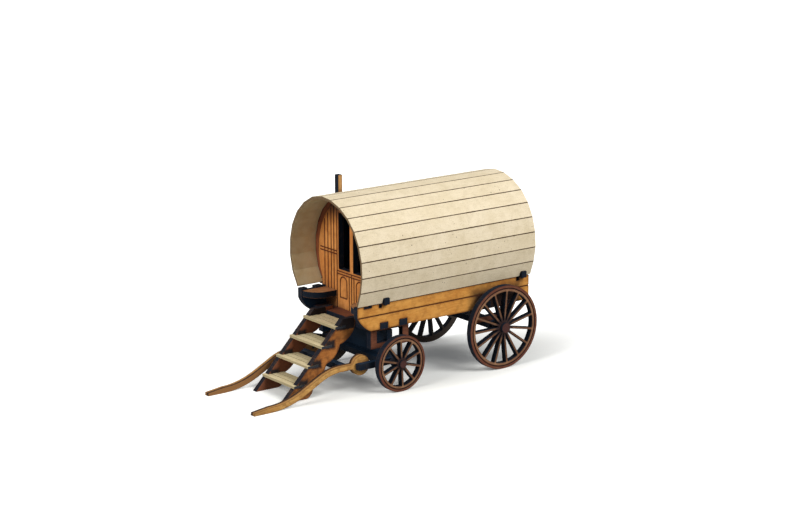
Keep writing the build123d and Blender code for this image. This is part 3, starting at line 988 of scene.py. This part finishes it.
@dataclass
class BowRoof:
    """The card roof, folded at its scored lines, and the chimney strip."""

    crown_half: float = 2.5
    left_crown: float = 60.85
    left_width: float = 5.04
    left_slopes: tuple[float, ...] = (19.0, 32.0, 46.5, 61.0, 74.0, 86.5, 100.0, 110.0)
    right_crown: float = 61.29
    right_width: float = 5.38
    right_slopes: tuple[float, ...] = (11.0, 29.0, 43.0, 59.0, 75.0, 88.5, 104.0, 120.0)
    bow_middle: float = 40.0
    # Where along the wagon the roof's inside is painted dark navy shade.
    cabin: tuple[float, float] = (-6.0, 50.4)
    score_width: float = 0.3
    chimney_thickness: float = 2.0

    def side(self, crown: float, width: float, slopes: tuple[float, ...]) -> Path:
        """Follows one side of the roof down from the crown to the eave.

        Args:
            crown: The height of the crown's edge there.
            width: A plank's width.
            slopes: Each plank's slope in degrees.

        Returns:
            Each corner's distance from the wagon's middle and height.
        """
        out, up = self.crown_half, crown
        found = [(out, up)]
        for slope in slopes:
            out += width * math.cos(math.radians(slope))
            up -= width * math.sin(math.radians(slope))
            found.append((out, up))
        return found

    def left(self) -> Path:
        """Gives the corners of the left side."""
        return self.side(self.left_crown, self.left_width, self.left_slopes)

    def right(self) -> Path:
        """Gives the corners of the right side."""
        return self.side(self.right_crown, self.right_width, self.right_slopes)

    def dress(self) -> None:
        """Gives the roof its scored card and the chimney its board."""
        lines = self.left()[:-1] + [(-out, up) for out, up in self.right()[:-1]]
        dress(["roof_cover"], ROOF_CARD.scored(lines, self.score_width, self.bow_middle, self.cabin))
        dress(["chimney"], CHIMNEY_BOARD.material(Axis.X, Grain.UPRIGHT, self.chimney_thickness))


@dataclass
class WallLinings:
    """Narrow boards that close the gap between the end walls and the roof's wider right side."""

    sheet: float = 2.0
    bottom: float = 30.9
    roof_depth: float = 0.85
    wall_depth: float = 0.88
    walls: tuple[tuple[str, float], ...] = (("front_wall_lining", -6.8), ("rear_wall_lining", 49.4))

    def shifted(self, path: Path, depth: float) -> Path:
        """Moves a path that runs down from the crown towards the wagon's middle.

        Args:
            path: Its corners.
            depth: How far each straight part moves.

        Returns:
            The moved corners.
        """
        parts = []
        for first, second in zip(path, path[1:]):
            run = (Vector(second) - Vector(first)).normalized()
            parts.append((Vector(first) + depth * Vector((run.y, -run.x)), run))
        moved = [parts[0][0]]
        for (start, run), (other, turn) in zip(parts, parts[1:]):
            reach = (other - start).cross(turn) / run.cross(turn)
            moved.append(start + run * reach)
        last = Vector(path[-1]) - Vector(path[-2])
        moved.append(parts[-1][0] + last)
        return [tuple(spot) for spot in moved]

    def ended(self, path: Path) -> Path:
        """Cuts a path off above the walls' ears."""
        kept = [spot for spot in path if spot[1] > self.bottom]
        (out, up), (low_out, low_up) = kept[-1], path[len(kept)]
        share = (up - self.bottom) / (up - low_up)
        return kept + [(out + (low_out - out) * share, self.bottom)]

    def build(self, roof: BowRoof) -> None:
        """Builds both linings and gives them their board.

        Args:
            roof: The roof whose sides they fill.
        """
        crown = (-roof.crown_half, roof.left_crown)
        outer = self.ended(self.shifted([crown] + roof.right(), self.roof_depth))
        inner = self.ended(self.shifted([crown] + roof.left(), self.wall_depth))
        board = LINING_BOARD.material(Axis.Y, Grain.UPRIGHT, self.sheet)
        for name, start in self.walls:
            self.lining(name, start, outer, inner).data.materials.append(board)

    def lining(self, name: str, start: float, outer: Path, inner: Path) -> bpy.types.Object:
        """Builds one lining.

        Args:
            name: Its name.
            start: Where its front face lies along the wagon.
            outer: Its corners along the roof.
            inner: Its corners along the wall, as many.

        Returns:
            The lining, which rides the wagon.
        """
        corners_of_ring = []
        for along in (start, start + self.sheet):
            for path in (outer, inner):
                corners_of_ring += [(-out * MM, along * MM, up * MM) for out, up in path]
        count = len(outer)
        rows = [0, count, 3 * count, 2 * count]
        faces = []
        for step in range(count - 1):
            for row, following in zip(rows, rows[1:] + rows[:1]):
                faces.append((row + step, row + step + 1, following + step + 1, following + step))
        faces.append(tuple(rows))
        faces.append(tuple(row + count - 1 for row in reversed(rows)))
        mesh = bpy.data.meshes.new(name)
        mesh.from_pydata(corners_of_ring, [], faces)
        mesh.validate()
        piece = bpy.data.objects.new(name, mesh)
        bpy.context.scene.collection.objects.link(piece)
        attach(piece, "wagon")
        LOG.info("built %s", name)
        return piece


@dataclass
class Cabin:
    """The end walls, side panels, floor and porch seats."""

    sheet: float = 2.0

    def dress(self) -> None:
        """Gives each board its finish."""
        dress(["front_wall", "rear_wall"], WALL_BOARD.material(Axis.Y, Grain.UPRIGHT, self.sheet))
        dress(both("side_panel"), PANEL_BOARD.material(Axis.X, Grain.ALONG, self.sheet))
        dress(["floor"], FRAME_BOARD.material(Axis.Z, Grain.ALONG, self.sheet))
        dress(both("porch_seat"), SEAT_BOARD.material(Axis.Z, Grain.ALONG, self.sheet))


@dataclass
class Undercarriage:
    """The bolster, brackets and axles under the floor."""

    sheet: float = 2.0

    def dress(self) -> None:
        """Gives each board its finish."""
        flat = DARK_BOARD.material(Axis.Z, Grain.CROSSWISE, self.sheet)
        dress(["front_axle", "rear_axle"], flat)
        dress(["front_bolster"], DARK_BOARD.material(Axis.Y, Grain.CROSSWISE, self.sheet))
        dress(corners("bracket"), FRAME_BOARD.material(Axis.X, Grain.ALONG, self.sheet))


@dataclass
class WheelSet:
    """The four wheels with their bosses and axle caps."""

    sheet: float = 2.0
    cap: float = 0.8

    def dress(self) -> None:
        """Gives the wheels their darker board."""
        disc = WHEEL_BOARD.material(Axis.X, Grain.NONE, self.sheet)
        dress(corners("wheel") + corners("boss"), disc)
        dress(corners("axle_cap"), HUB_BOARD.material(Axis.X, Grain.NONE, self.cap))


@dataclass
class Shafts:
    """The pair of shafts and the bar between their eyes."""

    sheet: float = 2.0

    def dress(self) -> None:
        """Gives each board its finish."""
        dress(both("shaft"), SHAFT_BOARD.material(Axis.X, Grain.ALONG, self.sheet))
        dress(["cross_bar"] + both("shaft_pin"), DARK_BOARD.material(Axis.Z, Grain.CROSSWISE, self.sheet))


@dataclass
class Steps:
    """The two stringers and their card treads."""

    sheet: float = 2.0
    tread: float = 0.8
    tread_count: int = 4
    # Size, lift and border of the dark patches around the treads' ends.
    patch_half: tuple[float, float, float] = (40.0, 1.2, 0.8)
    patch_lift: float = 0.5
    patch_fade: float = 1.2
    # Painted shadow of the porch over the stringers' heads.
    head_shadow: Box = Box(middle=(0.0, -15.6, 23.0), half=(40.0, 3.2, 2.6), fade=0.6)

    def names(self) -> list[str]:
        """Names the treads from the lowest up."""
        return [f"tread_{number}" for number in range(1, self.tread_count + 1)]

    def dark_patches(self) -> tuple[Box, ...]:
        """Finds where the treads' ends come through the stringers.

        Returns:
            A dark patch around each tread's end, and a painted shadow over the stringers' heads under the
            porch.
        """
        found = [self.head_shadow]
        for name in self.names():
            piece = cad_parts[name]
            spots = [piece.matrix_world @ Vector(corner) for corner in piece.bound_box]
            middle = sum(spots, Vector()) / len(spots) / MM
            found.append(Box((0.0, middle.y, middle.z + self.patch_lift), self.patch_half, self.patch_fade))
        return tuple(found)

    def dress(self) -> None:
        """Gives the stringers their board and the treads their card."""
        board = replace(STEP_BOARD, dark_patches=self.dark_patches())
        dress(both("stringer"), board.material(Axis.X, Grain.ALONG, self.sheet))
        dress(self.names(), TREAD_CARD.sheet(Axis.Z, Grain.CROSSWISE, self.tread))


@dataclass(frozen=True)
class Lamp:
    """A square soft lamp, hung so far off that its light is even over the floor."""

    name: str
    azimuth: float
    elevation: float
    power: float
    size: float = 12000.0
    distance: float = 24000.0


@dataclass
class Studio:
    """The pale floor, the lamps and the camera."""

    floor_half: float = 6000.0
    floor_tone: Colour = (0.9, 0.9, 0.86, 1.0)
    floor_bounce: Colour = (0.34, 0.34, 0.34, 1.0)
    floor_rough: float = 0.9
    near_glow: float = 0.09
    far_glow: float = 0.6
    shadow_middle: tuple[float, float] = (4.0, 12.0)
    shadow_half: tuple[float, float] = (27.0, 58.0)
    shadow_fade: tuple[float, float] = (0.7, 1.5)
    sky: float = 0.16
    sky_tone: Colour = (0.86, 0.93, 1.0, 1.0)
    lamps: tuple[Lamp, ...] = (Lamp("side_lamp", 106.0, 38.0, 4900.0), Lamp("front_lamp", 2.0, 34.0, 4200.0))
    aim: tuple[float, float, float] = (0.0, 12.62, 34.79)
    azimuth: float = 53.0
    elevation: float = 14.14
    roll: float = -0.14
    distance: float = 738.63
    lens: float = 102.36
    sensor: float = 36.0
    clip: tuple[float, float] = (10.0, 100000.0)

    def toward(self, azimuth: float, elevation: float) -> Vector:
        """Gives the direction from the wagon to something around it.

        Args:
            azimuth: Degrees round from the front, towards the left side.
            elevation: Degrees above the ground.

        Returns:
            A unit vector.
        """
        turn, lift = math.radians(azimuth), math.radians(elevation)
        return Vector((math.sin(turn) * math.cos(lift), -math.cos(turn) * math.cos(lift), math.sin(lift)))

    def seen_white(self, bench: NodeBench) -> bpy.types.NodeSocket:
        """Marks the rays that look straight, in a mirror or through glass at the background.

        Args:
            bench: The tree that needs the mark.

        Returns:
            1 for those rays and 0 for light.
        """
        path = bench.add("ShaderNodeLightPath").outputs
        straight = bench.math("MAXIMUM", path["Is Camera Ray"], path["Is Glossy Ray"])
        return bench.math("MAXIMUM", straight, path["Is Transmission Ray"])

    def glow(self, bench: NodeBench) -> bpy.types.NodeSocket:
        """Makes the floor paler away from the wagon, so its shadow stays close to it.

        Args:
            bench: The floor's tree.

        Returns:
            The strength of the floor's own white.
        """
        spot = bench.split(bench.add("ShaderNodeTexCoord").outputs["Object"])
        squares: Feed = 0.0
        for axis, (middle, half) in enumerate(zip(self.shadow_middle, self.shadow_half)):
            off = bench.math("SUBTRACT", spot[axis], middle * MM)
            share = bench.math("DIVIDE", off, half * MM)
            squares = bench.math("ADD", squares, bench.math("MULTIPLY", share, share))
        start, stop = self.shadow_fade
        away = bench.ramp(bench.math("SQRT", squares), start, stop, self.far_glow - self.near_glow)
        return bench.math("ADD", away, self.near_glow)

    def build_floor(self) -> None:
        """Lays the floor, which is white to the eye and still takes the wagon's shadow."""
        half = self.floor_half * MM
        mesh = bpy.data.meshes.new("studio_floor")
        ring = [(-half, -half, 0), (half, -half, 0), (half, half, 0), (-half, half, 0)]
        mesh.from_pydata(ring, [], [(0, 1, 2, 3)])
        floor = bpy.data.objects.new("studio_floor", mesh)
        bpy.context.scene.collection.objects.link(floor)
        material = bpy.data.materials.new("studio_floor")
        material.use_nodes = True
        bench = NodeBench(material.node_tree)
        shader = material.node_tree.nodes["Principled BSDF"]
        shader.inputs["Roughness"].default_value = self.floor_rough
        shader.inputs["Specular IOR Level"].default_value = 0.0
        shader.inputs["Emission Color"].default_value = WHITE
        seen = self.seen_white(bench)
        bench.feed(shader.inputs["Base Color"], bench.mix(seen, self.floor_bounce, self.floor_tone))
        bench.feed(shader.inputs["Emission Strength"], bench.math("MULTIPLY", seen, self.glow(bench)))
        mesh.materials.append(material)

    def build_sky(self) -> None:
        """Sets an even sky that is white where the camera sees it."""
        world = bpy.data.worlds.new("studio_sky")
        bpy.context.scene.world = world
        world.use_nodes = True
        bench = NodeBench(world.node_tree)
        back = world.node_tree.nodes["Background"]
        seen = self.seen_white(bench)
        bench.feed(back.inputs["Color"], bench.mix(seen, self.sky_tone, WHITE))
        lift = bench.math("MULTIPLY", seen, 1.0 - self.sky)
        bench.feed(back.inputs["Strength"], bench.math("ADD", lift, self.sky))

    def build_lamps(self) -> None:
        """Hangs the large soft lamps."""
        for lamp in self.lamps:
            light = bpy.data.lights.new(lamp.name, "AREA")
            light.energy = lamp.power
            light.size = lamp.size * MM
            hung = bpy.data.objects.new(lamp.name, light)
            toward = self.toward(lamp.azimuth, lamp.elevation)
            hung.location = (Vector(self.aim) + toward * lamp.distance) * MM
            hung.rotation_euler = toward.to_track_quat("Z", "Y").to_euler()
            bpy.context.scene.collection.objects.link(hung)

    def build_camera(self) -> None:
        """Sets the camera where the photograph was taken from."""
        back = self.toward(self.azimuth, self.elevation)
        level = Vector((math.cos(math.radians(self.azimuth)), math.sin(math.radians(self.azimuth)), 0.0))
        upright = back.cross(level)
        turn, lean = math.cos(math.radians(self.roll)), math.sin(math.radians(self.roll))
        right = turn * level + lean * upright
        up = turn * upright - lean * level
        lens = bpy.data.cameras.new("photo_camera")
        lens.lens = self.lens
        lens.sensor_width = self.sensor
        lens.sensor_fit = "HORIZONTAL"
        lens.clip_start, lens.clip_end = (limit * MM for limit in self.clip)
        camera = bpy.data.objects.new("photo_camera", lens)
        turned = Matrix((right, up, back)).transposed().to_4x4()
        camera.matrix_world = Matrix.Translation((Vector(self.aim) + back * self.distance) * MM) @ turned
        bpy.context.scene.collection.objects.link(camera)
        bpy.context.scene.camera = camera

    def build(self) -> None:
        """Sets the whole studio up."""
        bpy.context.scene.view_settings.view_transform = "Standard"
        self.build_floor()
        self.build_sky()
        self.build_lamps()
        self.build_camera()
        LOG.info("set the floor, sky, lamps and camera")


def main() -> None:
    """Builds and dresses the sub-assemblies in order, then the studio."""
    logging.basicConfig(level=logging.INFO, format="%(name)s: %(message)s")
    roof = BowRoof()
    for assembly in (roof, Cabin(), Undercarriage(), WheelSet(), Shafts(), Steps()):
        assembly.dress()
    WallLinings().build(roof)
    Studio().build()


if __name__ == "__main__":
    main()
